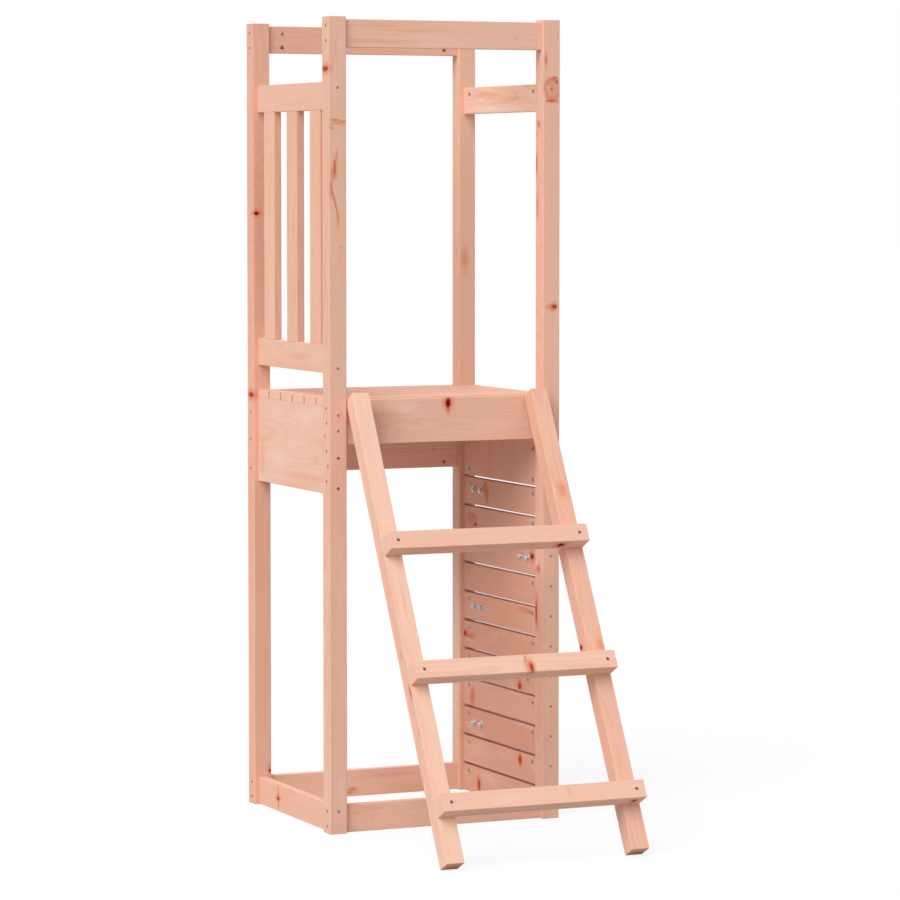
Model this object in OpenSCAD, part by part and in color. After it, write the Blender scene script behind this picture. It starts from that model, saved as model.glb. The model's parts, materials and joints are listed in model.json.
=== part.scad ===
// Narrow softwood play tower with a raised deck, a slatted side railing,
// a plank climbing wall and a leaning ladder. Millimetres, +Z up, ladder at -Y.

/* [Timber] */
// Side of the square posts, ladder rails and rungs
post_t = 38; // [34:1:42]
// Thickness of every board
board_t = 17; // [12:1:22]
// Width of the horizontal rails
rail_w = 58; // [48:1:70]
// Chamfer on the long edges of the timber
edge_ease = 1; // [0.4:0.1:2]

/* [Tower] */
// Overall width over the posts
tower_w = 525; // [460:5:700]
// Overall depth over the posts
tower_d = 467; // [440:1:560]
// Gap between the ground and the lowest boards
ground_gap = 1; // [0.5:0.5:20]
// Height of the posts above the railing
post_rise = 133; // [90:1:200]
// How far the top rails sit below the post tops
top_rail_drop = 5; // [0:1:25]

/* [Railing] */
// Gap between the floor and the railing's lower rail
railing_gap = 53; // [30:1:90]
// Visible height of the slats between the two rails
slat_h = 485; // [380:5:560]
// Width of one slat
slat_w = 58; // [40:1:70]
// Gap between the outer slats and the posts
slat_end_gap = 36.5; // [20:0.5:60]

/* [Platform] */
// Height of the side and back aprons
apron_h = 181; // [150:1:220]
// Height of the front fascia
fascia_h = 92.5; // [70:0.5:140]
// How far the fascia and the back apron sit below the floor's top
fascia_drop = 1.5; // [0:0.5:8]
// Gap between neighbouring floor boards
floor_gap = 8.6; // [4:0.2:14]

/* [Climbing wall] */
// Width of one wall plank
plank_w = 59; // [48:1:66]
// Gap between neighbouring planks
plank_gap = 5; // [3:1:12]
// Width of a climbing hold
hold_w = 84; // [70:1:100]
// Height of a climbing hold
hold_h = 56; // [44:1:64]
// How far a climbing hold stands out from the planks
hold_d = 28; // [20:1:40]
// Radius of a climbing hold's domed front
hold_dome_r = 50; // [46:1:70]
// Distance from a post to the middle of the holds next to it
hold_post_gap = 76.5; // [46:0.5:110]

/* [Ladder] */
// Lean of the ladder from upright, in degrees
ladder_lean = 28; // [20:1:34]
// Clearance between the ladder and each front post
ladder_side_gap = 2; // [1:0.5:10]
// Clearance between the ladder's top edge and the fascia
ladder_seat_gap = 0.2; // [0.1:0.1:0.5]
// How far the ladder's resting edge sits below the fascia's top
ladder_top_drop = 1.5; // [0:0.5:20]
// Distance along the rail from its foot to the lowest rung
rung_start = 95; // [60:1:160]
// Distance between neighbouring rungs along the rail
rung_pitch = 280; // [220:1:310]

/* [Hidden] */

// Fixed counts of the repeated pieces
slat_count = 3;
floor_board_count = 6;
plank_count = 11;
rung_count = 3;
// Planks that carry a hold, counted from the top
hold_planks = [1, 3, 5, 7, 9];

// Boards lie in the middle of the posts' thickness
inset = (post_t - board_t) / 2;
clear_w = tower_w - 2 * post_t;
clear_d = tower_d - 2 * post_t;

// Heights stack up from the ground
plank_step = plank_w + plank_gap;
apron_z = ground_gap + plank_count * plank_step;
floor_z = apron_z + apron_h;
floor_top = floor_z + board_t;
fascia_top = floor_top - fascia_drop;
railing_bottom_z = floor_top + railing_gap;
slat_z = railing_bottom_z + rail_w;
railing_top_z = slat_z + slat_h;
post_h = railing_top_z + rail_w + post_rise;
top_rail_z = post_h - top_rail_drop - rail_w;

// Floor boards, slats and holds follow the depth between the posts
floor_board_w = (clear_d - (floor_board_count - 1) * floor_gap) / floor_board_count;
slat_pitch = (clear_d - 2 * slat_end_gap - slat_w) / (slat_count - 1);
hold_offset = clear_d / 2 - hold_post_gap;

// The ladder leans against the front of the fascia
ladder_w = clear_w - 2 * ladder_side_gap;
ladder_len = (fascia_top - ladder_top_drop) / cos(ladder_lean);
ladder_foot_y = inset - ladder_seat_gap - ladder_len * sin(ladder_lean);
ladder_foot_reach = post_t * cos(ladder_lean) - ladder_foot_y;
rung_reach = 2 * post_t * cos(ladder_lean) - ladder_foot_y - rung_start * sin(ladder_lean);
front_reach = max(ladder_foot_reach, rung_reach);

// The origin is under the middle of everything
hold_proud = max(0, hold_d - inset);
origin_shift = [-(tower_w + hold_proud) / 2, (front_reach - tower_d) / 2, 0];

timber = [0.87, 0.66, 0.55];
hold_colours = ["indianred", "goldenrod", "steelblue", "seagreen", "indianred"];

// Outline of a stick of timber with its long edges eased
function stick(a, b) = [
    [edge_ease, 0], [a - edge_ease, 0], [a, edge_ease], [a, b - edge_ease],
    [a - edge_ease, b], [edge_ease, b], [0, b - edge_ease], [0, edge_ease]
];

// Timber with its corner at the origin, running along one axis
module along_x(len, depth, height)
    rotate([90, 0, 90]) linear_extrude(len) polygon(stick(depth, height));

module along_y(width, len, height)
    translate([0, len, 0]) rotate([90, 0, 0]) linear_extrude(len) polygon(stick(width, height));

module along_z(width, depth, len)
    linear_extrude(len) polygon(stick(width, depth));

// Places a piece given from the outer front left corner of the tower
module place(pos)
    color(timber) translate(origin_shift + pos) children();

// A square post at one corner
module post(x, y)
    place([x, y, 0]) along_z(post_t, post_t, post_h);

// A board between a left and a right post, with its front face at y
module cross_board(y, z, height)
    place([post_t, y, z]) along_x(clear_w, board_t, height);

// A board between a front and a back post, with its left face at x
module side_board(x, z, height)
    place([x, post_t, z]) along_y(board_t, clear_d, height);

left_x = inset;
right_x = tower_w - inset - board_t;
front_y = inset;
back_y = tower_d - inset - board_t;

module railing_slat(n)
    place([left_x, tower_d / 2 + (n - (slat_count + 1) / 2) * slat_pitch - slat_w / 2, slat_z])
        along_z(board_t, slat_w, slat_h);

module floor_board(n)
    place([inset, post_t + (n - 1) * (floor_board_w + floor_gap), floor_z])
        along_x(tower_w - 2 * inset, floor_board_w, board_t);

// Planks are counted from the top down
function plank_z(n) = apron_z - n * plank_step;

module wall_plank(n) side_board(right_x, plank_z(n), plank_w);

// Outline of a hold: a bar with half-round ends
module hold_outline() {
    square([hold_w - hold_h, hold_h], center = true);
    for (side = [-1, 1]) translate([side * (hold_w - hold_h) / 2, 0]) circle(d = hold_h, $fn = 64);
}

// Holds alternate between the back and the front of the wall
module climbing_hold(n) {
    side = n % 2 == 1 ? 1 : -1;
    y = tower_d / 2 + side * hold_offset;
    z = plank_z(hold_planks[n - 1]) + plank_w / 2;
    color(hold_colours[n - 1])
        translate(origin_shift + [tower_w - inset, y, z])
            rotate([90, 0, 90])
                intersection() {
                    linear_extrude(hold_d) hold_outline();
                    translate([0, 0, hold_d - hold_dome_r]) sphere(r = hold_dome_r, $fn = 96);
                }
}

// Places a piece in the ladder's own frame: Z runs up along the rails, and
// Y runs from the front of the rungs back to the rear of the rails
module on_ladder(pos)
    place([post_t + ladder_side_gap, ladder_foot_y, 0])
        rotate([-ladder_lean, 0, 0]) translate(pos) children();

module ladder_rail(x)
    on_ladder([x, -post_t, 0]) along_z(post_t, post_t, ladder_len);

// Rungs are counted from the top down and lie on the front of the rails
module ladder_rung(n)
    on_ladder([0, -2 * post_t, rung_start + (rung_count - n) * rung_pitch])
        along_x(ladder_w, post_t, post_t);

post(0, 0);  // post_front_left
post(tower_w - post_t, 0);  // post_front_right
post(0, tower_d - post_t);  // post_back_left
post(tower_w - post_t, tower_d - post_t);  // post_back_right
cross_board(front_y, top_rail_z, rail_w);  // top_rail_front
cross_board(back_y, top_rail_z, rail_w);  // top_rail_back
side_board(left_x, railing_top_z, rail_w);  // railing_top_rail
side_board(left_x, railing_bottom_z, rail_w);  // railing_bottom_rail
railing_slat(1);  // railing_slat_1
railing_slat(2);  // railing_slat_2
railing_slat(3);  // railing_slat_3
side_board(right_x, railing_top_z, rail_w);  // side_rail_right
floor_board(1);  // floor_board_1
floor_board(2);  // floor_board_2
floor_board(3);  // floor_board_3
floor_board(4);  // floor_board_4
floor_board(5);  // floor_board_5
floor_board(6);  // floor_board_6
cross_board(front_y, fascia_top - fascia_h, fascia_h);  // front_fascia
cross_board(back_y, fascia_top - apron_h, apron_h);  // back_apron
side_board(left_x, apron_z, apron_h);  // side_apron_left
side_board(right_x, apron_z, apron_h);  // side_apron_right
wall_plank(1);  // wall_plank_1
wall_plank(2);  // wall_plank_2
wall_plank(3);  // wall_plank_3
wall_plank(4);  // wall_plank_4
wall_plank(5);  // wall_plank_5
wall_plank(6);  // wall_plank_6
wall_plank(7);  // wall_plank_7
wall_plank(8);  // wall_plank_8
wall_plank(9);  // wall_plank_9
wall_plank(10);  // wall_plank_10
wall_plank(11);  // wall_plank_11
climbing_hold(1);  // climbing_hold_1
climbing_hold(2);  // climbing_hold_2
climbing_hold(3);  // climbing_hold_3
climbing_hold(4);  // climbing_hold_4
climbing_hold(5);  // climbing_hold_5
side_board(left_x, ground_gap, rail_w);  // bottom_rail_left
cross_board(front_y, ground_gap, rail_w);  // bottom_rail_front
cross_board(back_y, ground_gap, rail_w);  // bottom_rail_back
ladder_rail(0);  // ladder_rail_left
ladder_rail(ladder_w - post_t);  // ladder_rail_right
ladder_rung(1);  // ladder_rung_1
ladder_rung(2);  // ladder_rung_2
ladder_rung(3);  // ladder_rung_3
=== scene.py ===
"""Looks of a narrow softwood play tower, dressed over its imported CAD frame."""
import json
import math
import random
import bpy
import bmesh
from mathutils import Matrix, Vector

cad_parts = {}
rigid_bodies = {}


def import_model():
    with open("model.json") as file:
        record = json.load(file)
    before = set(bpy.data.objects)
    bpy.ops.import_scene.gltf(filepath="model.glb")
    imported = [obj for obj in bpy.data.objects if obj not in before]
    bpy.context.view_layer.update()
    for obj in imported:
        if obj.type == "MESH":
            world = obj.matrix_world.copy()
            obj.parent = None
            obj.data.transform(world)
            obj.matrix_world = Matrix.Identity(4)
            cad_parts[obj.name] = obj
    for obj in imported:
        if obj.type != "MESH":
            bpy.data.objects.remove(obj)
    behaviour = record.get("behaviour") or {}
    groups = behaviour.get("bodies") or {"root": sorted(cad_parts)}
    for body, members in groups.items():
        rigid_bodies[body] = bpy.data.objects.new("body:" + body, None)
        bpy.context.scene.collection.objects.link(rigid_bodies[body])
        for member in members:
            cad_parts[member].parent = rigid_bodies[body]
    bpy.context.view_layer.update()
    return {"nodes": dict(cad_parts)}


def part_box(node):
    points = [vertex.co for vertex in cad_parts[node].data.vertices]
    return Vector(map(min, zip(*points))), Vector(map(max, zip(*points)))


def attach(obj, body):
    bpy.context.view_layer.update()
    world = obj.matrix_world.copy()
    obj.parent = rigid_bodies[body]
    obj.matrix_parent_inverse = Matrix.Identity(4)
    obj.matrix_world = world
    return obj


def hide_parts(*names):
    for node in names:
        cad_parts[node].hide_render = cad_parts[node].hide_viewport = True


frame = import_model()
nodes = frame["nodes"]
MM = 0.001

# Sizes that repeat the CAD part, in millimetres, and the ladder's lean in radians
POST = 38.0
BOARD = 17.0
TOWER_W = 525.0
TOWER_D = 467.0
INSET = (POST - BOARD) / 2
LEAN = math.radians(28)
PLANK_STEP = 64.0
PLANK_MID = 29.5
APRON_Z = 705.0
LADDER_W = 445.0
LEFT_POST_X = POST / 2
RIGHT_POST_X = TOWER_W - POST / 2
WALL_INNER_X = TOWER_W - INSET - BOARD
BACK_INNER_Y = TOWER_D - INSET - BOARD

# How far up the ladder's rails each rung starts, in millimetres
RUNGS_ALONG = (655.0, 375.0, 95.0)

# The tower's frame starts at the outer front left corner of its front left post
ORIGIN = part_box("post_front_left")[0]
RAIL_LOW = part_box("ladder_rail_left")[0]
LADDER_FOOT = Vector((RAIL_LOW.x, RAIL_LOW.y + POST * MM * math.cos(LEAN), 0))
LADDER_TURN = Matrix.Rotation(-LEAN, 4, "X")


def tower(x, y, z):
    """A point given in millimetres in the tower's frame."""
    return ORIGIN + Vector((x, y, z)) * MM


def ladder(x, y, z):
    """A point given in millimetres in the ladder's frame: z along the rails, y towards the back."""
    return LADDER_FOOT + LADDER_TURN @ (Vector((x, y, z)) * MM)


def srgb(r, g, b):
    """A colour as it should appear in plain light, each part from 0 to 255."""
    def channel(v):
        v /= 255
        return v / 12.92 if v <= 0.04045 else ((v + 0.055) / 1.055) ** 2.4
    return (channel(r), channel(g), channel(b), 1.0)


EARLY_WOOD = srgb(238, 190, 167)
PALE_WOOD = srgb(250, 212, 190)
LATE_WOOD = srgb(219, 158, 130)
END_WOOD = srgb(235, 182, 157)
BOARD_END_WOOD = srgb(242, 196, 173)
END_LATE = srgb(186, 112, 82)
KNOT_HEART = srgb(134, 8, 2)
RED_KNOT_HEART = srgb(166, 42, 18)
KNOT_HALO = srgb(216, 96, 56)
RESIN = srgb(190, 84, 54)
STAIN = srgb(224, 128, 88)
# Colour of the patches of painted shade
PAINTED_SHADE_TONE = srgb(205, 140, 112)
# Colour of the paler patches, the wood's own tone on some pieces and painted light on others
PALE_TONE_AND_PAINTED_LIGHT = srgb(255, 228, 210)
FIBRE_TONE = srgb(206, 141, 112)
WARM_CLOUD = srgb(232, 166, 130)
PALE_CLOUD = srgb(246, 206, 184)
PLAIN_WHITE = (1.0, 1.0, 1.0, 1.0)


class Graph:
    """Short ways to build the node tree of a material or of the world."""

    def __init__(self, owner):
        owner.use_nodes = True
        self.owner = owner
        self.tree = owner.node_tree
        self.shader = self.tree.nodes.get("Principled BSDF") or self.tree.nodes["Background"]

    def node(self, kind, **settings):
        made = self.tree.nodes.new(kind)
        for key, value in settings.items():
            setattr(made, key, value)
        return made

    def wire(self, value, socket):
        if isinstance(value, bpy.types.NodeSocket):
            self.tree.links.new(value, socket)
        else:
            socket.default_value = value

    def math(self, operation, a, b=0.0, c=0.0, clamp=False):
        made = self.node("ShaderNodeMath", operation=operation, use_clamp=clamp)
        for socket, value in zip(made.inputs, (a, b, c)):
            self.wire(value, socket)
        return made.outputs[0]

    def vector(self, operation, a, b=(0, 0, 0)):
        made = self.node("ShaderNodeVectorMath", operation=operation)
        self.wire(a, made.inputs[0])
        self.wire(b, made.inputs[1])
        return made.outputs["Value"] if operation in ("LENGTH", "DOT_PRODUCT") else made.outputs[0]

    def step(self, value, low, high):
        """A soft step from zero at low to one at high, which falls where low is above high."""
        made = self.node("ShaderNodeMapRange", interpolation_type="SMOOTHSTEP")
        self.wire(value, made.inputs["Value"])
        made.inputs["From Min"].default_value = min(low, high)
        made.inputs["From Max"].default_value = max(low, high)
        made.inputs["To Min"].default_value = 0.0 if high > low else 1.0
        made.inputs["To Max"].default_value = 1.0 if high > low else 0.0
        return made.outputs["Result"]

    def mix(self, factor, a, b, blend="MIX"):
        made = self.node("ShaderNodeMix", data_type="RGBA", blend_type=blend)
        self.wire(factor, made.inputs["Factor"])
        self.wire(a, made.inputs["A"])
        self.wire(b, made.inputs["B"])
        return next(s for s in made.outputs if s.type == "RGBA")

    def noise(self, vector, scale, detail=2.0, rough=0.5):
        made = self.node("ShaderNodeTexNoise")
        self.wire(vector, made.inputs["Vector"])
        made.inputs["Scale"].default_value = scale
        made.inputs["Detail"].default_value = detail
        made.inputs["Roughness"].default_value = rough
        return made.outputs[0]

    def ramp(self, value, stops):
        made = self.node("ShaderNodeValToRGB")
        self.wire(value, made.inputs[0])
        bar = made.color_ramp.elements
        while len(bar) < len(stops):
            bar.new(0.5)
        for element, (place, colour) in zip(bar, stops):
            element.position = place
            element.color = colour
        return made.outputs[0]


def separate(graph, vector):
    made = graph.node("ShaderNodeSeparateXYZ")
    graph.wire(vector, made.inputs[0])
    return made.outputs


def combine(graph, x, y, z):
    made = graph.node("ShaderNodeCombineXYZ")
    for socket, value in zip(made.inputs, (x, y, z)):
        graph.wire(value, socket)
    return made.outputs[0]


def add_bump(graph, height, strength, depth):
    """Relief from a height that runs from about 0 to 1, its depth in metres."""
    bump = graph.node("ShaderNodeBump")
    bump.inputs["Strength"].default_value = strength
    bump.inputs["Distance"].default_value = depth
    graph.wire(height, bump.inputs["Height"])
    graph.wire(bump.outputs[0], graph.shader.inputs["Normal"])


# Wood

# The share of a kind of mark that a piece does not have
NONE = 0.0

# Specular level of planed wood
WOOD_GLOSS = 0.18

# Width of an eased edge, the angle from which edges are eased, and the weld's reach
EASE = 0.5 * MM
EASE_ANGLE = math.radians(60)
WELD = 0.01 * MM

# Sway in metres and strength of each kind of streak
STREAKS = {"streak": (0.0, 1.0), "soft streak": (0.0, 0.55), "swaying streak": (0.0092, 0.72)}

# Strength of a faint stain
FAINT_STAIN = 0.45


class Marks:
    """The knots, streaks, stains and tones of one piece of wood, with its patches of painted shade and
    painted light, each a socket once there is one.
    """

    def __init__(self):
        self.push = NONE
        self.heart = NONE
        self.red = NONE
        self.halo = NONE
        self.streak = NONE
        self.stain = NONE
        # Patches of painted shade
        self.deep = NONE
        # Paler patches, partly the wood's own tone and partly painted light
        self.fair = NONE


def grain_local(point, centre, turn):
    """A row-frame point in a piece's own grain coordinates, in metres."""
    return turn @ (point - centre)


def reach(graph, away, size):
    """Distance in units of a half size along each axis."""
    return graph.vector("LENGTH", graph.vector("MULTIPLY", away, tuple(1 / v for v in size)))


def add_knot(graph, marks, local, place, size, red):
    """One knot: a dark or red heart that fades into an orange halo, and grain that bends round it."""
    away = graph.vector("SUBTRACT", local, tuple(place))
    ragged = graph.math("MULTIPLY_ADD", graph.noise(local, 260.0), 0.6, -0.3)
    near = graph.math("ADD", reach(graph, away, size), ragged)
    wide = Vector((size[0] * 2.1, size[1] * 2.1, size[2] * 2.8 + 0.002))
    far = reach(graph, away, wide)
    marks.push = graph.math("MULTIPLY_ADD", graph.step(far, 1.0, 0.0), min(size) * 1.7, marks.push)
    heart = graph.step(near, 1.3, 0.55)
    if red:
        marks.red = graph.math("MAXIMUM", marks.red, heart)
    else:
        marks.heart = graph.math("MAXIMUM", marks.heart, heart)
    halo = graph.step(graph.math("MULTIPLY_ADD", ragged, 0.6, far), 1.05, 0.3)
    marks.halo = graph.math("MAXIMUM", marks.halo, halo)


def add_ring(graph, marks, local, place, size):
    """A faint broken resin ring round an old knot."""
    away = graph.vector("SUBTRACT", local, tuple(place))
    ragged = graph.math("MULTIPLY_ADD", graph.noise(local, 90.0), 0.9, -0.45)
    near = graph.math("ADD", reach(graph, away, size), ragged)
    off = graph.math("ABSOLUTE", graph.math("SUBTRACT", near, 0.85))
    broken = graph.step(graph.noise(local, 55.0), 0.3, 0.6)
    ring = graph.math("MULTIPLY", graph.step(off, 0.42, 0.02), broken)
    marks.streak = graph.math("MAXIMUM", marks.streak, graph.math("MULTIPLY", ring, 0.5))


def add_streak(graph, marks, local, place, size, sway, strength):
    """A narrow resin streak, which may sway from one side to the other along its length."""
    away = graph.vector("SUBTRACT", local, tuple(place))
    if sway:
        share = graph.math("DIVIDE", separate(graph, away)[2], size[2])
        cube = graph.math("MULTIPLY", graph.math("MULTIPLY", share, share), share)
        bow = graph.math("MULTIPLY_ADD", share, 1.5, graph.math("MULTIPLY", cube, -0.5))
        away = graph.vector("ADD", away, combine(graph, graph.math("MULTIPLY", bow, sway), 0.0, 0.0))
    ragged = graph.math("MULTIPLY_ADD", graph.noise(local, 120.0, 3.0), 0.9, -0.45)
    near = graph.math("ADD", reach(graph, away, size), ragged)
    streak = graph.math("MULTIPLY", graph.step(near, 1.0, 0.35), strength)
    marks.streak = graph.math("MAXIMUM", marks.streak, streak)


def soft_patch(graph, local, place, size):
    """How much a point belongs to a soft patch round a place."""
    away = graph.vector("SUBTRACT", local, tuple(place))
    ragged = graph.math("MULTIPLY_ADD", graph.noise(local, 70.0, 3.0), 0.8, -0.4)
    return graph.step(graph.math("ADD", reach(graph, away, size), ragged), 1.1, 0.1)


def add_mark(graph, marks, local, kind, place, size):
    """Adds one mark of the named kind."""
    if kind in ("knot", "red knot"):
        add_knot(graph, marks, local, place, size, kind == "red knot")
    elif kind == "ring":
        add_ring(graph, marks, local, place, size)
    elif kind in STREAKS:
        add_streak(graph, marks, local, place, size, *STREAKS[kind])
    elif kind == "stain":
        marks.stain = graph.math("MAXIMUM", marks.stain, soft_patch(graph, local, place, size))
    elif kind == "faint stain":
        patch = graph.math("MULTIPLY", soft_patch(graph, local, place, size), FAINT_STAIN)
        marks.stain = graph.math("MAXIMUM", marks.stain, patch)
    # Painted shade: a darker patch where shade falls on the piece.
    elif kind == "deep":
        marks.deep = graph.math("MAXIMUM", marks.deep, soft_patch(graph, local, place, size))
    # Paler patches: the wood's own tone on some pieces, painted light on others.
    else:
        marks.fair = graph.math("MAXIMUM", marks.fair, soft_patch(graph, local, place, size))


# Place within one growth ring, and how dark the wood is there
YEAR = [(0.0, 0.25), (0.1, 0.0), (0.55, 0.22), (0.86, 0.95), (0.97, 1.0), (1.0, 0.25)]


def stretched(graph, parts, across, along, offset):
    """Grain coordinates scaled across and along the grain, then moved by the piece's offset."""
    scaled = [graph.math("MULTIPLY", part, scale) for part, scale in zip(parts, (across, across, along))]
    return graph.vector("ADD", combine(graph, *scaled), offset)


def ring_radius(graph, parts, half, push, offset, draw):
    """Distance from a pith line beside the piece, with the stem's waves and what the knots push aside."""
    pith_x = draw.choice((-1, 1)) * draw.uniform(0.3, 0.9) * (half[0] + 0.012)
    pith_y = draw.choice((-1, 1)) * (half[1] + draw.uniform(0.012, 0.05))
    if draw.random() < 0.4:
        pith_x, pith_y = pith_y, pith_x
    lean_x = draw.uniform(-0.02, 0.02)
    lean_y = draw.uniform(-0.02, 0.02)
    side_x = graph.math("ADD", graph.math("MULTIPLY_ADD", parts[2], lean_x, -pith_x), parts[0])
    side_y = graph.math("ADD", graph.math("MULTIPLY_ADD", parts[2], lean_y, -pith_y), parts[1])
    radius = graph.vector("LENGTH", combine(graph, side_x, side_y, 0.0))
    slow = graph.noise(stretched(graph, parts, 5.0, 1.5, offset), 1.6, 2.0, 0.45)
    fine = graph.noise(stretched(graph, parts, 26.0, 5.0, offset), 1.5, 3.0, 0.55)
    radius = graph.math("MULTIPLY_ADD", slow, 0.022, radius)
    radius = graph.math("MULTIPLY_ADD", fine, 0.0016, radius)
    return graph.math("ADD", radius, push)


def late_wood(graph, radius, spacing, shift):
    """How dark the growth rings are at a radius; some years are darker than others."""
    years = graph.math("DIVIDE", radius, spacing)
    late = graph.ramp(graph.math("FRACT", years), [(place, (grey, grey, grey, 1)) for place, grey in YEAR])
    year = graph.noise(combine(graph, graph.math("FLOOR", years), shift, 0.0), 0.9, 0.0)
    return graph.math("MULTIPLY", late, graph.math("MULTIPLY_ADD", year, 1.2, 0.1))


def grown_colour(graph, late, fibre, blotch, look, tone):
    """The planed wood's colour, from its rings, its fibres and soft warm and pale clouds."""
    # A piece's tone, which on some pieces is painted shade.
    fair = Vector(EARLY_WOOD[:3]).lerp(Vector(PALE_WOOD[:3]), look.paleness_and_painted_shade)
    early = tuple(min(1.0, c * (1 + 0.03 * tone)) for c in fair) + (1,)
    colour = graph.mix(graph.math("MULTIPLY", late, look.rings, clamp=True), early, LATE_WOOD)
    streaky = graph.math("MULTIPLY", graph.step(fibre, 0.42, 0.75), 0.2)
    colour = graph.mix(streaky, colour, FIBRE_TONE)
    warm = graph.math("MULTIPLY", graph.step(blotch, 0.48, 0.78), 0.34 * look.mottle)
    colour = graph.mix(warm, colour, WARM_CLOUD)
    pale = graph.math("MULTIPLY", graph.step(blotch, 0.45, 0.25), 0.3 * look.mottle)
    return graph.mix(pale, colour, PALE_CLOUD)


def faces_along(graph, normal, row):
    """One on the faces that look along a row of the grain frame, zero on the others."""
    return graph.step(graph.math("ABSOLUTE", graph.vector("DOT_PRODUCT", normal, row)), 0.6, 0.85)


def marked_colour(graph, colour, marks):
    """Lays the marks that a piece has over its colour, patches of painted shade and painted light among
    them.
    """
    for share, strength, mark_colour in (
        (marks.deep, 0.45, PAINTED_SHADE_TONE), (marks.fair, 0.5, PALE_TONE_AND_PAINTED_LIGHT), (marks.stain, 0.62, STAIN),
        (marks.halo, 0.55, KNOT_HALO), (marks.streak, 0.8, RESIN), (marks.red, 0.86, RED_KNOT_HEART),
        (marks.heart, 1.0, KNOT_HEART),
    ):
        if share != NONE:
            colour = graph.mix(graph.math("MULTIPLY", share, strength), colour, mark_colour)
    return colour


def finish_timber(graph, marks, late, fibre, end):
    """Roughness, which is higher on the ends, a low gloss that knots lose, and a fine relief."""
    rough = graph.math("MULTIPLY_ADD", fibre, 0.16, 0.6)
    graph.wire(graph.math("MULTIPLY_ADD", end, 0.14, rough), graph.shader.inputs["Roughness"])
    gloss = graph.shader.inputs["Specular IOR Level"]
    gloss.default_value = WOOD_GLOSS
    height = graph.math("MULTIPLY_ADD", late, -0.5, graph.math("MULTIPLY", fibre, 0.8))
    if marks.halo != NONE:
        knot = graph.math("MAXIMUM", marks.heart, marks.red)
        graph.wire(graph.math("MULTIPLY_ADD", knot, -0.12, WOOD_GLOSS), gloss)
        height = graph.math("MULTIPLY_ADD", marks.heart, 0.4, height)
    add_bump(graph, height, 0.32, 0.0004)


def timber_material(name, axes, centre, half, marks_given, look, seed):
    """Planed softwood; axes turns the row frame to the grain frame, whose z runs along the grain."""
    draw = random.Random(seed)
    graph = Graph(bpy.data.materials.new(name))
    place = graph.node("ShaderNodeTexCoord").outputs["Object"]
    moved = graph.vector("SUBTRACT", place, tuple(centre))
    rows = [tuple(axes[i]) for i in range(3)]
    parts = [graph.vector("DOT_PRODUCT", moved, row) for row in rows]
    local = combine(graph, *parts)
    offset = tuple(draw.uniform(-40, 40) for _ in range(3))
    marks = Marks()
    for kind, at, size in marks_given:
        add_mark(graph, marks, local, kind, at, size)

    radius = ring_radius(graph, parts, half, marks.push, offset, draw)
    late = late_wood(graph, radius, draw.uniform(0.0024, 0.0036), offset[0])
    fibre = graph.noise(stretched(graph, parts, 900.0, 16.0, offset), 1.0, 3.0, 0.6)
    blotch = graph.noise(stretched(graph, parts, 16.0, 3.5, offset), 1.3, 3.0, 0.6)
    colour = grown_colour(graph, late, fibre, blotch, look, draw.uniform(-1, 1))

    normal = graph.node("ShaderNodeNewGeometry").outputs["Normal"]
    # Painted shade on the narrow faces of the wall planks and the railing's slats.
    if look.edges:
        painted_edge_colour = graph.mix(1.0, colour, look.edges, "MULTIPLY")
        colour = graph.mix(faces_along(graph, normal, rows[1]), colour, painted_edge_colour)
    end = faces_along(graph, normal, rows[2])
    end_colour = graph.mix(graph.math("MULTIPLY", late, look.end_rings, clamp=True), look.ends, END_LATE)
    colour = graph.mix(end, colour, end_colour)
    graph.wire(marked_colour(graph, colour, marks), graph.shader.inputs["Base Color"])
    finish_timber(graph, marks, late, fibre, end)
    return graph.owner


ALONG = {
    "x": Matrix(((0, 1, 0), (0, 0, 1), (1, 0, 0))),
    "y": Matrix(((1, 0, 0), (0, 0, 1), (0, 1, 0))),
    "z": Matrix(((1, 0, 0), (0, 1, 0), (0, 0, 1))),
}
ALONG["ladder"] = LADDER_TURN.to_3x3().transposed()


# How far a piece goes from the common tone to the palest one, or below zero to a deeper one; the deeper tone
# of the wall planks, the back left post, the back top rail and the railing's slats is painted shade
PALENESS_AND_PAINTED_SHADE = {
    "ladder_rail_left": 0.6, "ladder_rail_right": -0.25, "ladder_rung_1": 0.1, "ladder_rung_2": 0.3,
    "ladder_rung_3": 0.2, "side_apron_left": 0.25, "side_rail_right": 0.45, "back_apron": 1.0,
    "post_back_left": -0.3, "top_rail_back": -0.4, "railing_slat_1": -0.2, "railing_slat_2": -0.1,
    "bottom_rail_back": 0.25,
    "wall_plank_4": -0.8, "wall_plank_6": -0.9, "wall_plank_7": -0.9, "wall_plank_9": -1.0,
}
# On the wall planks the deeper tone is painted shade.
FAMILY_TONE_AND_PAINTED_SHADE = {"wall_plank": -0.6, "floor_board": -0.3, "bottom_rail": -0.1}


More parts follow.
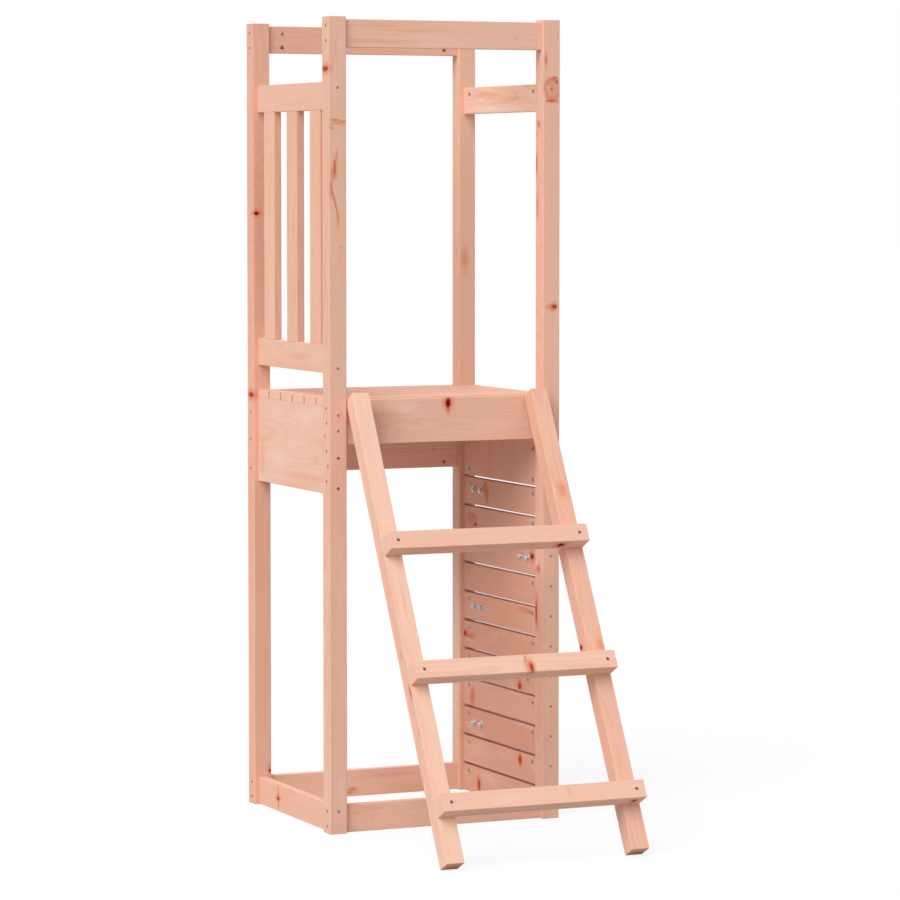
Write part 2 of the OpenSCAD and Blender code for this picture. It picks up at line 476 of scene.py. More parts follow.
class Look:
    """How one piece's wood differs from the common look, painted shade on some pieces included."""

    def __init__(self, name):
        family = name.rsplit("_", 1)[0]
        self.paleness_and_painted_shade = PALENESS_AND_PAINTED_SHADE.get(name, FAMILY_TONE_AND_PAINTED_SHADE.get(family, 0.0))
        self.rings = 0.46
        self.mottle = 1.0
        # Painted shade on the narrow faces between neighbouring boards: what the colour is multiplied by
        # there
        self.edges = None
        self.ends = END_WOOD
        self.end_rings = 0.75
        if family == "wall_plank":
            self.rings = 0.38
            self.mottle = 1.7
            self.edges = (0.78, 0.63, 0.59, 1.0)
        elif family == "railing_slat":
            self.edges = (0.9, 0.84, 0.84, 1.0)
        elif family in ("floor_board", "ladder_rung"):
            self.ends = BOARD_END_WOOD
            self.end_rings = 0.3
        elif name == "side_apron_left":
            self.rings = 0.2
            self.mottle = 1.6
        elif name == "side_apron_right":
            self.rings = 0.6
            self.mottle = 2.0
        elif name == "front_fascia":
            self.rings = 0.34
            self.mottle = 1.4


def grain_of(name):
    """The way a node's grain runs."""
    if name.startswith(("post", "railing_slat")) or name == "side_apron_right":
        return "z"
    if name.startswith("ladder_rail"):
        return "ladder"
    if name.startswith(("top_rail", "floor_board", "front_fascia", "back_apron", "bottom_rail_front",
                        "bottom_rail_back", "ladder_rung")):
        return "x"
    return "y"


# Marks seen in the photo, in tower or ladder millimetres: kind, place, half sizes along x, y and z
SEEN = {
    "post_front_left": [
        ("red knot", (0, 20, 1583), (8, 16, 5.4)), ("stain", (22, 0, 1472), (26, 8, 9)),
        ("soft streak", (12, 0, 1478), (13, 5, 3.4)), ("soft streak", (31, 0, 1475), (9, 5, 2.4)),
        ("stain", (6, 0, 1461), (9, 5, 6)),
        ("stain", (12, 0, 1380), (9, 8, 44)), ("streak", (12.5, 0, 1380), (3.2, 6, 28)),
        ("soft streak", (7, 0, 1366), (3.0, 6, 20)), ("soft streak", (17, 0, 1408), (2.4, 6, 18)),
        ("swaying streak", (11.6, 0, 1312), (3.4, 6, 54)), ("stain", (19, 0, 1275), (6, 6, 30)),
        ("stain", (4, 0, 1335), (6, 6, 30)), ("stain", (26, 0, 1216), (5, 6, 4)),
        ("faint stain", (24, 0, 868), (12, 6, 22)), ("stain", (0, 24, 826), (6, 8, 9)),
        ("red knot", (0, 10, 765), (6, 2.6, 2.6)),
    ],
    "post_back_left": [
        ("knot", (7, 429, 1283), (6, 14, 4)), ("stain", (15, 429, 1282), (14, 8, 9)),
        ("red knot", (0, 445, 891), (12, 15, 6)), ("knot", (35, 429, 72), (3, 8, 2.4)),
        # The last patch here is painted shade, where the railing shades the post.
        ("stain", (33, 429, 74), (7, 8, 20)), ("deep", (17, 429, 1256), (30, 10, 300)),
    ],
    "post_front_right": [
        ("ring", (506, 0, 1545), (18, 8, 24)), ("stain", (493, 0, 1604), (6, 6, 26)),
        ("soft streak", (492, 0, 1606), (2.6, 6, 14)), ("stain", (508, 0, 1545), (22, 6, 30)),
        ("stain", (511, 0, 1565), (14, 6, 10)), ("streak", (513, 0, 1569), (9, 6, 4)),
        ("soft streak", (500, 0, 1562), (10, 6, 3.4)), ("streak", (518, 0, 1560), (4.5, 6, 9)),
        ("streak", (504, 0, 1521), (18, 6, 3.8)), ("stain", (508, 0, 1521), (22, 6, 8)),
        ("red knot", (512.5, 0, 1088), (6, 9, 4.6)),
        ("stain", (505, 0, 1088), (15, 8, 9)), ("stain", (487, 23, 1472), (6, 19, 14)),
        ("soft streak", (487, 22, 1472), (6, 8, 6)), ("stain", (487, 31, 1452), (6, 6, 12)),
        ("stain", (487, 33, 1388), (4, 7, 40)),
        ("streak", (487, 34, 1388), (4, 4.6, 30)), ("stain", (487, 29, 1296), (6, 7, 44)),
        ("soft streak", (487, 31, 1292), (6, 3, 30)),
        ("stain", (487, 8, 1217), (6, 6, 4)), ("stain", (487, 23, 530), (6, 17, 18)),
        ("soft streak", (487, 22, 532), (6, 12, 9)), ("streak", (487, 32, 438), (6, 6, 40)),
        ("red knot", (487, 34, 438), (5, 3, 18)),
        # The last patch here is painted shade, where the ladder shades the post's left face.
        ("stain", (487, 30, 438), (6, 11, 54)), ("deep", (487, 19, 300), (8, 34, 330)),
    ],
    # The paler patch here is painted light on the post's left face.
    "post_back_right": [("stain", (500, 429, 1180), (14, 8, 40)), ("fair", (487, 448, 330), (8, 34, 340))],
    "bottom_rail_left": [
        ("red knot", (10, 320, 28), (6, 7, 4)), ("stain", (10, 321, 34), (6, 10, 34)),
        ("soft streak", (10, 317, 26), (6, 6, 26)), ("faint stain", (10, 240, 55), (6, 27, 6)),
    ],
    "bottom_rail_back": [
        ("soft streak", (226, 440, 9), (9, 6, 4)), ("soft streak", (236, 440, 17), (9, 6, 4)),
        ("stain", (232, 440, 14), (22, 6, 11)), ("faint stain", (330, 440, 44), (90, 6, 8)),
    ],
    "side_apron_left": [
        ("faint stain", (10, 160, 733), (6, 190, 9)), ("faint stain", (10, 405, 757), (6, 22, 40)),
    ],
    "front_fascia": [
        ("knot", (272, 10, 890), (6, 9, 11.5)), ("stain", (272, 10, 873), (7, 8, 14)),
        ("soft streak", (272, 10, 877), (2.6, 6, 6)),
        # The last patch here is painted shade, the ladder rail's contact shadow on the fascia.
        ("faint stain", (196, 10, 850), (30, 6, 6)), ("deep", (110, 10, 860), (80, 8, 50)),
    ],
    "top_rail_front": [
        ("soft streak", (428, 10, 1649), (2.4, 6, 4.4)), ("faint stain", (100, 10, 1673), (110, 6, 6)),
        ("faint stain", (200, 10, 1663), (110, 6, 6)), ("faint stain", (110, 10, 1640), (120, 6, 7)),
    ],
    "side_rail_right": [
        ("faint stain", (498, 180, 1529), (8, 110, 8)), ("faint stain", (498, 330, 1540), (8, 130, 8)),
        ("fair", (498, 260, 1508), (8, 190, 9)),
    ],
    "wall_plank_1": [
        ("stain", (498, 309, 675), (8, 19, 32)), ("streak", (498, 316, 679), (7, 6, 19)),
        ("soft streak", (498, 305, 666), (7, 9, 24)),
    ],
    "wall_plank_2": [("knot", (498, 366, 598), (8, 5, 3)), ("ring", (498, 384, 606), (8, 26, 14)),
                     ("stain", (498, 385, 610), (8, 30, 16))],
    "wall_plank_3": [("knot", (498, 75, 554), (9, 8, 8)), ("stain", (498, 75, 548), (9, 10, 20))],
    "wall_plank_5": [("stain", (498, 112, 434), (8, 52, 9)), ("soft streak", (498, 84, 432), (8, 20, 5))],
    "wall_plank_6": [
        ("red knot", (498, 422, 351), (9, 8, 6)), ("stain", (498, 392, 350), (8, 46, 11)),
        ("soft streak", (498, 396, 347), (8, 28, 5)),
    ],
    "wall_plank_7": [("red knot", (498, 137, 267), (9, 8, 7)), ("stain", (498, 137, 280), (8, 12, 26))],
    "wall_plank_8": [("stain", (498, 382, 216), (8, 22, 36)), ("soft streak", (498, 382, 214), (8, 13, 26))],
    "wall_plank_10": [
        ("red knot", (498, 134.5, 108), (9, 6.5, 9)), ("stain", (498, 134.5, 108), (8, 12, 30)),
    ],
    "wall_plank_11": [("red knot", (498, 347, 22), (9, 4.5, 12)), ("stain", (498, 348, 27), (8, 15, 32))],
    "back_apron": [("soft streak", (430, 440, 761), (3, 6, 9))],
    "railing_bottom_rail": [("faint stain", (10, 200, 985), (6, 80, 10))],
    "ladder_rail_left": [
        ("streak", (0, -28, 365), (5, 5, 18)), ("stain", (0, -28, 355), (6, 10, 34)),
        ("stain", (0, -30, 275), (6, 8, 18)), ("stain", (0, -20, 447), (6, 12, 20)),
        ("faint stain", (22, -38, 560), (5, 6, 60)), ("faint stain", (-4, -20, 520), (16, 40, 560)),
    ],
    "ladder_rail_right": [("knot", (407, -8, 446), (5, 6, 5)), ("stain", (427, -38, 785), (16, 8, 26)),
                          ("stain", (436, -38, 440), (12, 8, 22))],
    "ladder_rung_1": [("knot", (387, -57, 655), (8, 7, 6))],
    "ladder_rung_2": [("red knot", (253, -76, 384), (4, 8, 8)), ("stain", (247, -76, 392), (15, 8, 28)),
                      ("soft streak", (242, -76, 404), (4, 8, 10))],
    "ladder_rung_3": [("faint stain", (276, -76, 121), (9, 8, 12)), ("red knot", (424, -57, 95), (5, 6, 5))],
}


def marks_of(name, axes, centre, half, draw):
    """The seen marks of a node, and a few seeded ones on its unseen faces, in its grain frame."""
    in_ladder = name.startswith("ladder")
    where = ladder if in_ladder else tower
    to_grain = axes @ LADDER_TURN.to_3x3() if in_ladder else axes
    made = []
    for kind, at, size in SEEN.get(name, []):
        box = Vector((0, 0, 0))
        for axis in range(3):
            step = Vector((0, 0, 0))
            step[axis] = size[axis] * MM
            box += Vector(abs(v) for v in to_grain @ step)
        made.append((kind, grain_local(where(*at), centre, axes), box))
    face, side = 0, 1
    if name.startswith("floor_board"):
        face, side = 1, -1
    for _ in range(2 if half[2] > 0.3 else 1):
        if draw.random() < 0.25:
            continue
        if name.startswith(("post", "ladder_rail")):
            face = draw.choice((0, 1))
        spot = Vector((draw.uniform(-0.7, 0.7) * half[0], draw.uniform(-0.7, 0.7) * half[1],
                       draw.uniform(-0.85, 0.85) * half[2]))
        spot[face] = side * half[face]
        radius = draw.uniform(0.002, 0.0045)
        box = Vector((radius, radius, radius * draw.uniform(0.8, 1.6)))
        box[face] = radius * 2.5
        made.append((draw.choice(("knot", "knot", "red knot")), spot, box))
    return made


def dress_wood():
    """Gives every timber node its own cut of wood and lightly eased edges."""
    for index, (name, obj) in enumerate(sorted(nodes.items())):
        if name.startswith("climbing_hold"):
            continue
        axes = ALONG[grain_of(name)]
        points = [axes @ v.co for v in obj.data.vertices]
        low = Vector(min(p[i] for p in points) for i in range(3))
        high = Vector(max(p[i] for p in points) for i in range(3))
        half = (high - low) / 2
        centre = axes.transposed() @ ((low + high) / 2)
        draw = random.Random(900 + index)
        marks = marks_of(name, axes, centre, half, draw)
        wood = timber_material("wood_" + name, axes, centre, half, marks, Look(name), 300 + index)
        obj.data.materials.clear()
        obj.data.materials.append(wood)
        weld = obj.modifiers.new("weld", "WELD")
        weld.merge_threshold = WELD
        ease = obj.modifiers.new("ease", "BEVEL")
        ease.width = EASE
        ease.segments = 2
        ease.limit_method = "ANGLE"
        ease.angle_limit = EASE_ANGLE


# Metal parts


def metal_material(name, colour, roughness):
    """Plated steel with a fine grain and dull clouds."""
    graph = Graph(bpy.data.materials.new(name))
    place = graph.node("ShaderNodeTexCoord").outputs["Object"]
    cloud = graph.noise(place, 900.0, 3.0, 0.6)
    stain = graph.noise(place, 160.0, 2.0)
    dull = tuple(c * 0.72 for c in colour[:3]) + (1,)
    tint = graph.mix(graph.math("MULTIPLY", graph.step(stain, 0.4, 0.7), 0.6), colour, dull)
    graph.wire(tint, graph.shader.inputs["Base Color"])
    graph.shader.inputs["Metallic"].default_value = 0.9
    graph.wire(graph.math("MULTIPLY_ADD", cloud, 0.2, roughness - 0.1), graph.shader.inputs["Roughness"])
    add_bump(graph, cloud, 0.15, 0.0001)
    return graph.owner


ZINC = metal_material("zinc_plating", srgb(206, 206, 208), 0.45)
SCREW_STEEL = metal_material("screw_steel", srgb(168, 156, 150), 0.45)
DARK_SCREW = metal_material("dark_screw", srgb(144, 112, 98), 0.5)


def turned(mesh, rings, segments, transform):
    """Adds a lathe shape from (radius, height) rings; a radius may be a function of the angle."""
    loops = []
    for radius, height in rings:
        loop = []
        for k in range(segments):
            angle = 2 * math.pi * k / segments
            r = radius(angle) if callable(radius) else radius
            spot = Vector((r * math.cos(angle), r * math.sin(angle), height))
            loop.append(mesh.verts.new(transform @ spot))
        loops.append(loop)
    for low, high in zip(loops, loops[1:]):
        for k in range(segments):
            nxt = (k + 1) % segments
            mesh.faces.new((low[k], low[nxt], high[nxt], high[k]))
    mesh.faces.new(list(reversed(loops[0])))
    mesh.faces.new(loops[-1])


def facing(point, normal, spin=0.0):
    """A transform that takes a part built along +Z, in millimetres, to a place in the row frame."""
    turn = normal.to_track_quat("Z", "Y").to_matrix().to_4x4()
    return Matrix.Translation(point) @ turn @ Matrix.Rotation(spin, 4, "Z") @ Matrix.Scale(MM, 4)


def cross_recess(tip, waist):
    """Radius of a rounded cross at an angle."""
    def radius(angle):
        return waist + (tip - waist) * abs(math.cos(2 * angle)) ** 6
    return radius


def add_screw(mesh, transform, head):
    """A flat screw head with a cross recess, just under the face in its countersink."""
    half = head / 2
    rings = [
        (half * 0.4, -3.4), (half * 0.97, -0.6), (half, -0.35), (half * 0.97, -0.15), (half * 0.88, -0.1),
        (cross_recess(half * 0.6, half * 0.18), -0.1), (cross_recess(half * 0.42, half * 0.1), -1.4),
    ]
    turned(mesh, rings, 32, transform)


def add_pan_screw(mesh, transform, head):
    """A washer-faced screw head with a cross recess, which lies on the wood."""
    half = head / 2
    rings = [
        (half * 0.96, 0.0), (half, 0.3), (half * 0.96, 0.8), (half * 0.74, 1.2), (half * 0.68, 2.1),
        (half * 0.56, 2.5), (cross_recess(half * 0.46, half * 0.16), 2.5),
        (cross_recess(half * 0.3, half * 0.08), 0.9),
    ]
    turned(mesh, rings, 32, transform)


class Holes:
    """The holes cut by a modifier, so that the object's own mesh stays as it is."""

    def __init__(self):
        self.cutters = {}

    def cut(self, obj, rings, segments, transform):
        if obj not in self.cutters:
            self.cutters[obj] = bmesh.new()
        turned(self.cutters[obj], rings, segments, transform)

    def finish(self):
        for obj, mesh in self.cutters.items():
            data = bpy.data.meshes.new("cut_" + obj.name)
            bmesh.ops.recalc_face_normals(mesh, faces=mesh.faces)
            mesh.to_mesh(data)
            mesh.free()
            cutter = bpy.data.objects.new("cut_" + obj.name, data)
            bpy.context.scene.collection.objects.link(cutter)
            cutter.hide_render = True
            cutter.display_type = "WIRE"
            drill = obj.modifiers.new("holes", "BOOLEAN")
            drill.operation = "DIFFERENCE"
            drill.solver = "EXACT"
            drill.object = cutter


holes = Holes()

# Room round a screw head in its countersink, in millimetres
HOLE_PLAY = 0.12


def countersunk(mesh, obj, at, normal, head, spin):
    """A countersunk screw and the hole it sits in."""
    place = facing(at, normal, spin)
    half = head / 2 + HOLE_PLAY
    holes.cut(obj, [(1.6, -4.2), (half, -0.5), (half, 0.6)], 28, place)
    add_screw(mesh, place, head)


# Washer, nut and bolt of the climbing holds, in millimetres
WASHER_R = 7.9
WASHER_T = 1.4
NUT_ACROSS = 11.0
NUT_TOP = 6.0
BOLT_R = 3.0
BOLT_END = 8.4
THREAD_PITCH = 0.6
THREAD_DEPTH = 0.3


def hexagon(across):
    """Radius of a hexagon at an angle, from its width across flats."""
    def radius(angle):
        wedge = (angle + math.pi / 6) % (math.pi / 3) - math.pi / 6
        return across / 2 / math.cos(wedge)
    return radius


def add_bolt_end(mesh, transform):
    """Washer, hexagon nut and the threaded end of a bolt."""
    washer = [(WASHER_R - 0.2, 0), (WASHER_R, 0.3), (WASHER_R, WASHER_T - 0.3), (WASHER_R - 0.2, WASHER_T),
              (3.4, WASHER_T)]
    turned(mesh, washer, 40, transform)
    nut = [(hexagon(NUT_ACROSS * 0.97), WASHER_T - 0.1), (hexagon(NUT_ACROSS), WASHER_T + 0.3),
           (hexagon(NUT_ACROSS), NUT_TOP - 0.6), (hexagon(NUT_ACROSS * 0.95), NUT_TOP - 0.1), (3.5, NUT_TOP)]
    turned(mesh, nut, 48, transform)
    bolt = []
    for turn in range(4):
        height = NUT_TOP + (turn - 1) * THREAD_PITCH
        bolt += [(BOLT_R, height), (BOLT_R - THREAD_DEPTH, height + THREAD_PITCH / 2)]
    bolt += [(BOLT_R - 0.5, BOLT_END - 0.4), (BOLT_R - 1.1, BOLT_END)]
    turned(mesh, bolt, 28, transform)


def make_piece(name, mesh, material):
    """Turns a mesh into a piece of the part's one body."""
    data = bpy.data.meshes.new(name)
    bmesh.ops.recalc_face_normals(mesh, faces=mesh.faces)
    mesh.to_mesh(data)
    mesh.free()
    data.materials.append(material)
    obj = bpy.data.objects.new(name, data)
    bpy.context.scene.collection.objects.link(obj)
    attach(obj, "root")
    return obj


FRONT = Vector((0, -1, 0))
BACK = Vector((0, 1, 0))
LEFT = Vector((-1, 0, 0))
RIGHT = Vector((1, 0, 0))
PLANK_MIDS = [APRON_Z - PLANK_STEP * n + PLANK_MID for n in range(1, 12)]

# How far above a plank's middle its screws sit
SCREW_RISE = 17.0

# Screw heads, millimetres across
POST_SCREW = 6.4
WALL_SCREW = 9.0
BACK_SCREW = 8.6
RUNG_SCREW = 7.2

# Screw rows in the posts, measured from the front and up from the ground
FRONT_SCREW_Y = 18.0
BACK_SCREW_Y = 448.0
LEFT_SCREWS = (1544, 967, 870, 838, 782, 719, 47)
RIGHT_SCREWS = [1545, 870, 838, 782, 719] + [z + SCREW_RISE for z in PLANK_MIDS]
FRONT_SCREWS = (1672, 1640, 884, 854, 47, 15)
BACK_SCREWS = (1670, 1638, 854, 795, 732, 47, 15)
EXTRA_FRONT_LEFT = (796, 733)

# Between these heights the screws are dark on every face
DARK_FROM = 700
DARK_TO = 800

# Screws on the boards' inner faces
WALL_INSIDE_Y = (71, 398)
WALL_INSIDE_Z = [1543, 783, 717] + [z + SCREW_RISE for z in PLANK_MIDS]
BACK_INSIDE_X = (71, 454)
BACK_INSIDE_Z = ((1670, "pale"), (1640, "dark"), (732, "pale"))


def post_screws():
    """Screws through the posts into the boards' ends, by post."""
    spots = {"post_front_left": [], "post_front_right": [], "post_back_left": [], "post_back_right": []}
    for x, side, heights in ((LEFT_POST_X, "left", LEFT_SCREWS), (RIGHT_POST_X, "right", RIGHT_SCREWS)):
        for z in heights:
            spots["post_front_" + side].append(((x, 0, z), FRONT))
            spots["post_back_" + side].append(((x, TOWER_D, z), BACK))
    for y, row, heights in ((FRONT_SCREW_Y, "front", FRONT_SCREWS), (BACK_SCREW_Y, "back", BACK_SCREWS)):
        for z in heights:
            spots[f"post_{row}_left"].append(((0, y, z), LEFT))
            spots[f"post_{row}_right"].append(((TOWER_W, y, z), RIGHT))
    for z in EXTRA_FRONT_LEFT:
        spots["post_front_left"].append(((0, FRONT_SCREW_Y, z), LEFT))
    return spots


def screw_posts(draw):
    """Countersunk screws in the posts, darker on the sides and at the aprons."""
    for post, spots in post_screws().items():
        pale, dark = bmesh.new(), bmesh.new()
        for at, normal in spots:
            mesh = dark if normal in (LEFT, RIGHT) or DARK_FROM < at[2] < DARK_TO else pale
            countersunk(mesh, nodes[post], tower(*at), normal, POST_SCREW, draw.uniform(0, 3))
        make_piece("screws_" + post, pale, SCREW_STEEL)
        make_piece("dark_screws_" + post, dark, DARK_SCREW)


def screw_wall(draw):
    """Pan-head screws inside the climbing wall and the boards above it."""
    mesh = bmesh.new()
    for z in WALL_INSIDE_Z:
        for y in WALL_INSIDE_Y:
            add_pan_screw(mesh, facing(tower(WALL_INNER_X, y, z), LEFT, draw.uniform(0, 3)), WALL_SCREW)
    make_piece("screws_wall_inside", mesh, SCREW_STEEL)


def screw_back(draw):
    """Pan-head screws inside the back rail and apron, with one darker pair."""
    meshes = {"pale": bmesh.new(), "dark": bmesh.new()}
    for x in BACK_INSIDE_X:
        for z, shade in BACK_INSIDE_Z:
            place = facing(tower(x, BACK_INNER_Y, z), FRONT, draw.uniform(0, 3))
            add_pan_screw(meshes[shade], place, BACK_SCREW)
    make_piece("screws_back_boards", meshes["pale"], SCREW_STEEL)
    make_piece("dark_screws_back_boards", meshes["dark"], DARK_SCREW)


def screw_rungs(draw):
    """Countersunk screws through the rungs into the ladder's rails."""
    mesh = bmesh.new()
    normal = LADDER_TURN.to_3x3() @ FRONT
    for number, along in enumerate(RUNGS_ALONG):
        rung = nodes[f"ladder_rung_{number + 1}"]
        for x in (POST / 2, LADDER_W - POST / 2):
            at = ladder(x, -2 * POST, along + POST / 2)
            countersunk(mesh, rung, at, normal, RUNG_SCREW, draw.uniform(0, 3))
    make_piece("screws_ladder_rungs", mesh, DARK_SCREW)


def make_screws():
    """All screws, turned at random by one seeded draw."""
    draw = random.Random(7)
    screw_posts(draw)
    screw_wall(draw)
    screw_back(draw)
    screw_rungs(draw)


# Plank, distance from the front, and how far the two bolts sit above the hold's middle
HOLD_SPOTS = [(1, 352.5, 4), (3, 114.5, 6), (5, 352.5, 2), (7, 114.5, 4), (9, 352.5, 0)]
BOLT_HALF = 18.0


def hold_middles():
    """Distance from the front, height and bolt rise of each hold."""
    return [(y, PLANK_MIDS[plank - 1], rise) for plank, y, rise in HOLD_SPOTS]


def make_bolts():
    """The ends of the holds' bolts, inside the wall."""
    for index, (y, z, rise) in enumerate(hold_middles()):
        mesh = bmesh.new()
        for side in (-1, 1):
            at = tower(WALL_INNER_X, y + side * BOLT_HALF, z + rise)
            add_bolt_end(mesh, facing(at, LEFT, 0.4 * index + side))
        make_piece(f"hold_bolts_{index + 1}", mesh, ZINC)


# Climbing holds

# Sizes in millimetres, the mesh's points round and rings inward, and the angle from which edges are crisp
HOLD_W = 84.0
HOLD_H = 56.0
HOLD_D = 28.0
HOLD_RIM = 2.0
HOLD_SEAT = 11.0
HOLD_WELL_R = 8.4
BOLT_HEAD_R = 6.5
BOLT_HEAD_T = 5.0
BOLT_SOCKET_R = 3.4
BOLT_SOCKET_FLOOR = 1.6
HOLD_ROUNDS = 96
HOLD_STEPS = 36
CRISP_ANGLE = math.radians(38)


def plastic_material(name, colour):
    """Moulded gritty plastic."""
    graph = Graph(bpy.data.materials.new(name))
    place = graph.node("ShaderNodeTexCoord").outputs["Object"]
    grit = graph.noise(place, 1400.0, 3.0, 0.7)
    cloud = graph.noise(place, 60.0, 2.0)
    dark = tuple(c * 0.8 for c in colour[:3]) + (1,)
    tint = graph.mix(graph.step(cloud, 0.35, 0.7), dark, colour)
    pale = tuple(min(1.0, c * 1.15 + 0.02) for c in colour[:3]) + (1,)
    tint = graph.mix(graph.math("MULTIPLY", graph.step(grit, 0.6, 0.75), 0.5), tint, pale)
    graph.wire(tint, graph.shader.inputs["Base Color"])
    graph.wire(graph.math("MULTIPLY_ADD", grit, 0.2, 0.5), graph.shader.inputs["Roughness"])
    add_bump(graph, grit, 0.5, 0.0004)
    return graph.owner


def hold_height(u, v):
    """Height of the hold's front over its back plane, u and v from -1 to 1 across it."""
    edge = min(1.0, math.hypot(max(0.0, abs(u) - (HOLD_W - HOLD_H) / HOLD_W) * HOLD_W / HOLD_H, v))
    dome = 0.3 + 0.7 * math.sqrt(max(0.0, 1 - edge ** 2.4))
    lip = math.exp(-((v - 0.34) / 0.26) ** 2)
    scoop = math.exp(-((v - 0.62) / 0.2) ** 2) * max(0.0, 1 - (u / 0.9) ** 4)
    return min(1.0, max(0.0, dome * (0.72 + 0.28 * lip) - 0.16 * scoop * (1 - edge ** 6))) * HOLD_D


def hold_outline(angle):
    """A point on the hold's outline, a bar with half-round ends."""
    flat = (HOLD_W - HOLD_H) / 2
    side = math.cos(angle)
    y = HOLD_H / 2 * side + math.copysign(flat, side) * min(1.0, abs(side) * 4)
    return y, HOLD_H / 2 * math.sin(angle)


def hold_mesh(middle):
    """The closed skin of one hold, from its back up to the middle of its front."""
    mesh = bmesh.new()
    outline = [hold_outline(2 * math.pi * k / HOLD_ROUNDS) for k in range(HOLD_ROUNDS)]

    def corner(y, z, rise):
        return mesh.verts.new(middle + Vector((rise, y, z)) * MM)

    def surface(y, z):
        return corner(y, z, hold_height(y * 2 / HOLD_W, z * 2 / HOLD_H))

    loops = [[corner(y, z, 0.0) for y, z in outline], [corner(y, z, HOLD_RIM) for y, z in outline]]
    for ring in range(1, HOLD_STEPS):
        share = 1 - ring / HOLD_STEPS
        loops.append([surface(y * share, z * share) for y, z in outline])
    for low, high in zip(loops, loops[1:]):
        for k in range(HOLD_ROUNDS):
            nxt = (k + 1) % HOLD_ROUNDS
            mesh.faces.new((low[k], low[nxt], high[nxt], high[k]))
    peak = surface(0.0, 0.0)
    for k in range(HOLD_ROUNDS):
        mesh.faces.new((loops[-1][k], loops[-1][(k + 1) % HOLD_ROUNDS], peak))
    mesh.faces.new(list(reversed(loops[0])))
    return mesh


HOLD_COLOURS = {
    "hold_red": srgb(184, 48, 40), "hold_yellow": srgb(226, 170, 44),
    "hold_blue": srgb(44, 98, 164), "hold_green": srgb(48, 130, 74),
}
HOLD_SLOTS = ["hold_red", "hold_yellow", "hold_blue", "hold_green", "hold_red"]


def add_bolt_head(mesh, transform):
    """A round bolt head with a socket, seated in its well."""
    rings = [(BOLT_HEAD_R - 0.1, HOLD_SEAT - 0.5), (BOLT_HEAD_R, HOLD_SEAT + BOLT_HEAD_T - 0.6),
             (BOLT_HEAD_R - 0.4, HOLD_SEAT + BOLT_HEAD_T), (BOLT_SOCKET_R, HOLD_SEAT + BOLT_HEAD_T),
             (BOLT_SOCKET_R - 0.1, HOLD_SEAT + BOLT_SOCKET_FLOOR)]
    turned(mesh, rings, 36, transform)


def make_holds():
    """The sculpted holds with their bolt wells, and the bolt heads in them."""
    looks = {name: plastic_material(name, colour) for name, colour in HOLD_COLOURS.items()}
    for index, (y, z, rise) in enumerate(hold_middles()):
        middle = tower(TOWER_W - INSET, y, z)
        slot = HOLD_SLOTS[index]
        body = make_piece(f"hold_body_{index + 1}", hold_mesh(middle), looks[slot])
        body.data.polygons.foreach_set("use_smooth", [True] * len(body.data.polygons))
        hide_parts(f"climbing_hold_{index + 1}")
        heads = bmesh.new()
        for side in (-1, 1):
            at = tower(TOWER_W - INSET, y + side * BOLT_HALF, z + rise)
            holes.cut(body, [(HOLD_WELL_R, HOLD_SEAT), (HOLD_WELL_R, HOLD_D + 2)], 48, facing(at, RIGHT))
            add_bolt_head(heads, facing(at, RIGHT))
        make_piece(f"hold_bolt_heads_{index + 1}", heads, ZINC)


def split_hold_edges():
    """Keeps the rims of the bolt wells crisp in the smooth holds."""
    for index in range(len(HOLD_SPOTS)):
        split = bpy.data.objects[f"hold_body_{index + 1}"].modifiers.new("crisp", "EDGE_SPLIT")
        split.split_angle = CRISP_ANGLE


# Stage, light and camera

FLOOR_HALF = 60.0
FLOOR_DROP = 0.0005
FLOOR_GREY = (0.5, 0.5, 0.5, 1.0)
FLOOR_WHITENESS = 0.85

# Strength of the world's light, then each lamp's name, strength, direction and width in degrees
AMBIENT = 0.44
LAMPS = (
    ("key", 2.62, Vector((-0.62, -0.45, 0.66)), 50),
    ("fill", 0.9, Vector((0.6, 0.65, 0.45)), 70),
)


def seen_rays(graph):
    """One for rays that show a thing directly, in a reflection or through glass, zero for the others."""
    path = graph.node("ShaderNodeLightPath")
    seen = graph.math("MAXIMUM", path.outputs["Is Camera Ray"], path.outputs["Is Glossy Ray"])
    return graph.math("MAXIMUM", seen, path.outputs["Is Transmission Ray"])


def floor_material():
    """A pale floor that shows nearly white and keeps a share of the object's shadow."""
    graph = Graph(bpy.data.materials.new("pale_floor"))
    path = graph.node("ShaderNodeLightPath")
    shade = graph.mix(path.outputs["Is Camera Ray"], FLOOR_GREY, PLAIN_WHITE)
    graph.wire(shade, graph.shader.inputs["Base Color"])
    graph.shader.inputs["Roughness"].default_value = 0.9
    graph.shader.inputs["Specular IOR Level"].default_value = 0.0
    white = graph.node("ShaderNodeEmission")
    white.inputs["Color"].default_value = PLAIN_WHITE
    white.inputs["Strength"].default_value = 1.0
    blend = graph.node("ShaderNodeMixShader")
    graph.wire(graph.math("MULTIPLY", seen_rays(graph), FLOOR_WHITENESS), blend.inputs[0])
    graph.wire(graph.shader.outputs[0], blend.inputs[1])
    graph.wire(white.outputs[0], blend.inputs[2])
    graph.wire(blend.outputs[0], graph.tree.nodes["Material Output"].inputs["Surface"])
    return graph.owner


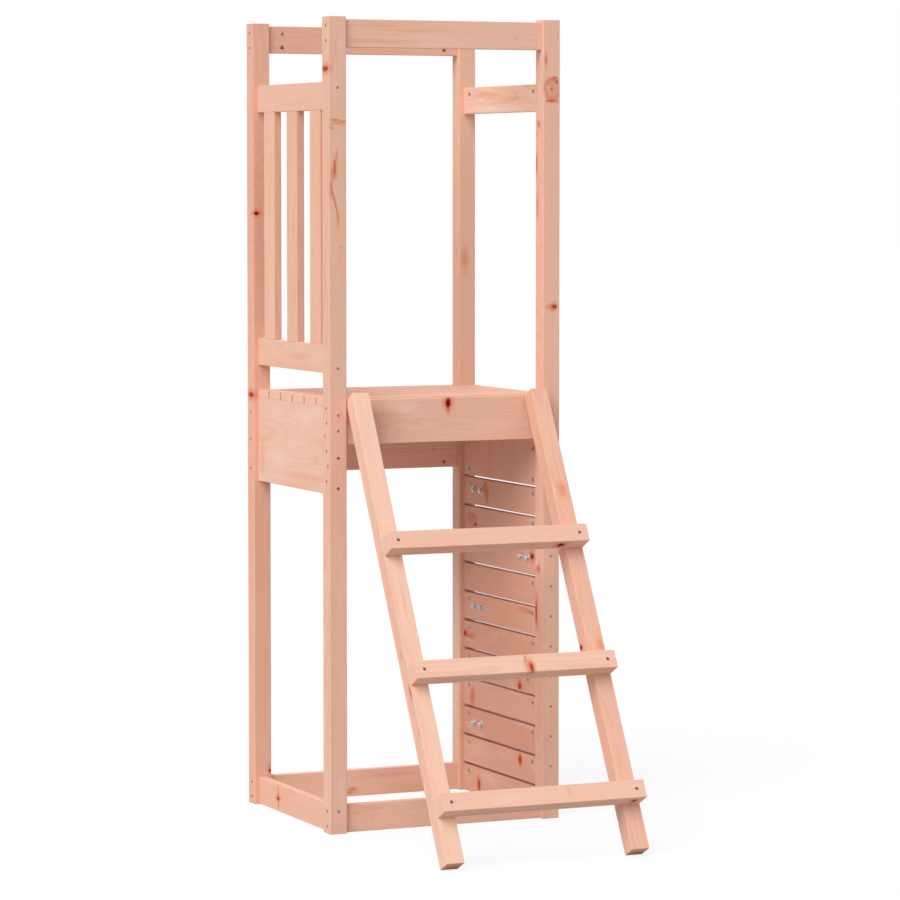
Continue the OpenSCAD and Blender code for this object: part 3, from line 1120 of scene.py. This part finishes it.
def make_floor():
    """A wide floor, a little under the feet."""
    mesh = bmesh.new()
    bmesh.ops.create_grid(mesh, x_segments=2, y_segments=2, size=FLOOR_HALF)
    data = bpy.data.meshes.new("stage_floor")
    mesh.to_mesh(data)
    mesh.free()
    floor = bpy.data.objects.new("stage_floor", data)
    bpy.context.scene.collection.objects.link(floor)
    floor.location.z = -FLOOR_DROP
    data.materials.append(floor_material())


def make_world():
    """White where it is seen, and a plain soft light on the object."""
    world = bpy.data.worlds.new("studio")
    bpy.context.scene.world = world
    graph = Graph(world)
    graph.shader.inputs["Color"].default_value = PLAIN_WHITE
    strength = graph.math("MULTIPLY_ADD", seen_rays(graph), 1.0 - AMBIENT, AMBIENT)
    graph.wire(strength, graph.shader.inputs["Strength"])


def make_lamps():
    """Wide soft lamps."""
    for name, energy, towards, angle in LAMPS:
        lamp = bpy.data.lights.new(name, "SUN")
        lamp.energy = energy
        lamp.angle = math.radians(angle)
        obj = bpy.data.objects.new(name, lamp)
        obj.rotation_euler = towards.to_track_quat("Z", "Y").to_euler()
        bpy.context.scene.collection.objects.link(obj)


# The photograph's camera, in the tower's frame, with angles in degrees
IMAGE_SIDE = 900.0
FOCAL_PIXELS = 3871.7
HORIZON_SHIFT = 36.0
CAMERA_AT = (-3031.9, -7360.1, 1362.6)
CAMERA_YAW = 24.172
CAMERA_PITCH = 3.514
SENSOR_WIDTH = 36.0


def make_camera():
    """The photograph's viewpoint and framing."""
    data = bpy.data.cameras.new("photo_camera")
    data.sensor_width = SENSOR_WIDTH
    data.lens = FOCAL_PIXELS * SENSOR_WIDTH / IMAGE_SIDE
    data.shift_y = -HORIZON_SHIFT / IMAGE_SIDE
    data.clip_start = 0.1
    data.clip_end = 200
    camera = bpy.data.objects.new("photo_camera", data)
    camera.location = tower(*CAMERA_AT)
    camera.rotation_euler = (math.radians(90 - CAMERA_PITCH), 0, -math.radians(CAMERA_YAW))
    bpy.context.scene.collection.objects.link(camera)
    bpy.context.scene.camera = camera


make_camera()
dress_wood()
make_screws()
make_bolts()
make_holds()
holes.finish()
split_hold_edges()
make_floor()
make_world()
make_lamps()
bpy.context.scene.view_settings.view_transform = "Standard"
